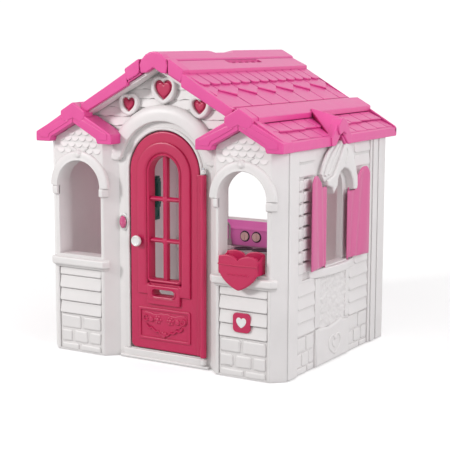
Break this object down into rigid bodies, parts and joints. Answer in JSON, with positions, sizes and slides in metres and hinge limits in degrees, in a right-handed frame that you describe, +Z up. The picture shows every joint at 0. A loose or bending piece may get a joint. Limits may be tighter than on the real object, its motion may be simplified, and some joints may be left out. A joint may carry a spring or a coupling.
{
  "type": "playhouse",
  "caption": "Moulded plastic cottage playhouse: steep shingled roof, arched hinged door, bay windows, swinging shutters, heart-shaped planter, doorbell and toy kitchen",
  "frame": {"origin": "middle of the overall footprint, on the ground", "axes": "+Z up, -Y out of the front (the door), +X to the right as seen from the front"},
  "size_m": [1.4062, 1.23, 1.474],
  "materials": {
    "wall_plastic": "off-white moulded plastic with a fine satin grain",
    "roof_plastic": "pink moulded plastic, satin",
    "door_plastic": "raspberry moulded plastic, satin",
    "planter_plastic": "raspberry moulded plastic, satin",
    "shutter_plastic": "dusty pink moulded plastic, satin",
    "white_plastic": "white plastic, semi-gloss",
    "grey_plastic": "light grey moulded plastic",
    "purple_plastic": "orchid moulded plastic",
    "dark_plastic": "charcoal plastic",
    "teal_plastic": "dark teal plastic, semi-gloss",
    "steel": "zinc-plated steel",
    "circuit_board": "green circuit board"
  },
  "bodies": {
    "house": {"front_wall": "wall_plastic", "back_wall": "wall_plastic", "left_wall": "wall_plastic", "right_wall": "wall_plastic", "roof_left": "roof_plastic", "roof_right": "roof_plastic", "ridge_cap": "roof_plastic", "gable_heart_center": "door_plastic", "gable_heart_left": "door_plastic", "gable_heart_right": "door_plastic", "bay_badge": "door_plastic", "doorbell_base": "white_plastic", "doorbell_housing": "white_plastic", "doorbell_cover": "white_plastic", "sink_basin": "white_plastic", "kitchen_counter": "grey_plastic", "tap_base": "grey_plastic", "kitchen_console": "purple_plastic", "burner_rings": "dark_plastic", "phone_base": "teal_plastic", "wall_screws": "steel", "roof_screws": "steel", "door_hinge_rod": "steel", "doorbell_spring": "steel", "kitchen_screws": "steel", "doorbell_batteries": "steel", "doorbell_circuit": "circuit_board"},
    "door_leaf": {"door": "door_plastic", "door_knob_outer": "white_plastic", "door_knob_inner": "white_plastic", "door_knob_screw": "steel"},
    "bell_button": {"doorbell_button": "roof_plastic"},
    "shutter_rf": {"shutter_right_front": "shutter_plastic"},
    "shutter_rb": {"shutter_right_back": "shutter_plastic"},
    "shutter_lf": {"shutter_left_front": "shutter_plastic"},
    "shutter_lb": {"shutter_left_back": "shutter_plastic"},
    "planter": {"planter_box": "planter_plastic"},
    "dial_left": {"stove_dial_left": "grey_plastic"},
    "dial_right": {"stove_dial_right": "grey_plastic"},
    "tap": {"tap_spout": "grey_plastic"},
    "handset": {"phone_handset": "teal_plastic"}
  },
  "joints": [
    {"name": "door_hinge", "type": "hinge", "parent": "house", "child": "door_leaf", "pos_m": [0.225, -0.527, 0.5], "axis": [0, 0, 1], "range_deg": [0, 95]},
    {"name": "doorbell_press", "type": "slide", "parent": "house", "child": "bell_button", "axis": [0, 1, 0], "range_m": [0, 0.004], "stiffness_N_per_m": 150, "springref_m": -0.002, "deforming": ["doorbell_spring"]},
    {"name": "shutter_right_front_hinge", "type": "hinge", "parent": "house", "child": "shutter_rf", "pos_m": [0.668, -0.1665, 0.65], "axis": [0, 0, 1], "range_deg": [0, 118]},
    {"name": "shutter_right_back_hinge", "type": "hinge", "parent": "house", "child": "shutter_rb", "pos_m": [0.668, 0.0775, 0.65], "axis": [0, 0, 1], "range_deg": [-118, 0]},
    {"name": "shutter_left_front_hinge", "type": "hinge", "parent": "house", "child": "shutter_lf", "pos_m": [-0.668, -0.1665, 0.65], "axis": [0, 0, 1], "range_deg": [-118, 0]},
    {"name": "shutter_left_back_hinge", "type": "hinge", "parent": "house", "child": "shutter_lb", "pos_m": [-0.668, 0.0775, 0.65], "axis": [0, 0, 1], "range_deg": [0, 118]},
    {"name": "planter_lift", "type": "slide", "parent": "house", "child": "planter", "axis": [0, 0, 1], "range_m": [0, 0.15]},
    {"name": "stove_dial_left_turn", "type": "hinge", "parent": "house", "child": "dial_left", "pos_m": [-0.135, 0.468, 0.466], "axis": [0, -1, 0], "range_deg": [0, 270]},
    {"name": "stove_dial_right_turn", "type": "hinge", "parent": "house", "child": "dial_right", "pos_m": [-0.063, 0.468, 0.466], "axis": [0, -1, 0], "range_deg": [0, 270]},
    {"name": "tap_swivel", "type": "hinge", "parent": "house", "child": "tap", "pos_m": [-0.222, 0.45, 0.45], "axis": [0, 0, 1], "range_deg": [-70, 70]},
    {"name": "handset_lift", "type": "slide", "parent": "house", "child": "handset", "axis": [1, 0, 0], "range_m": [0, 0.12]}
  ]
}
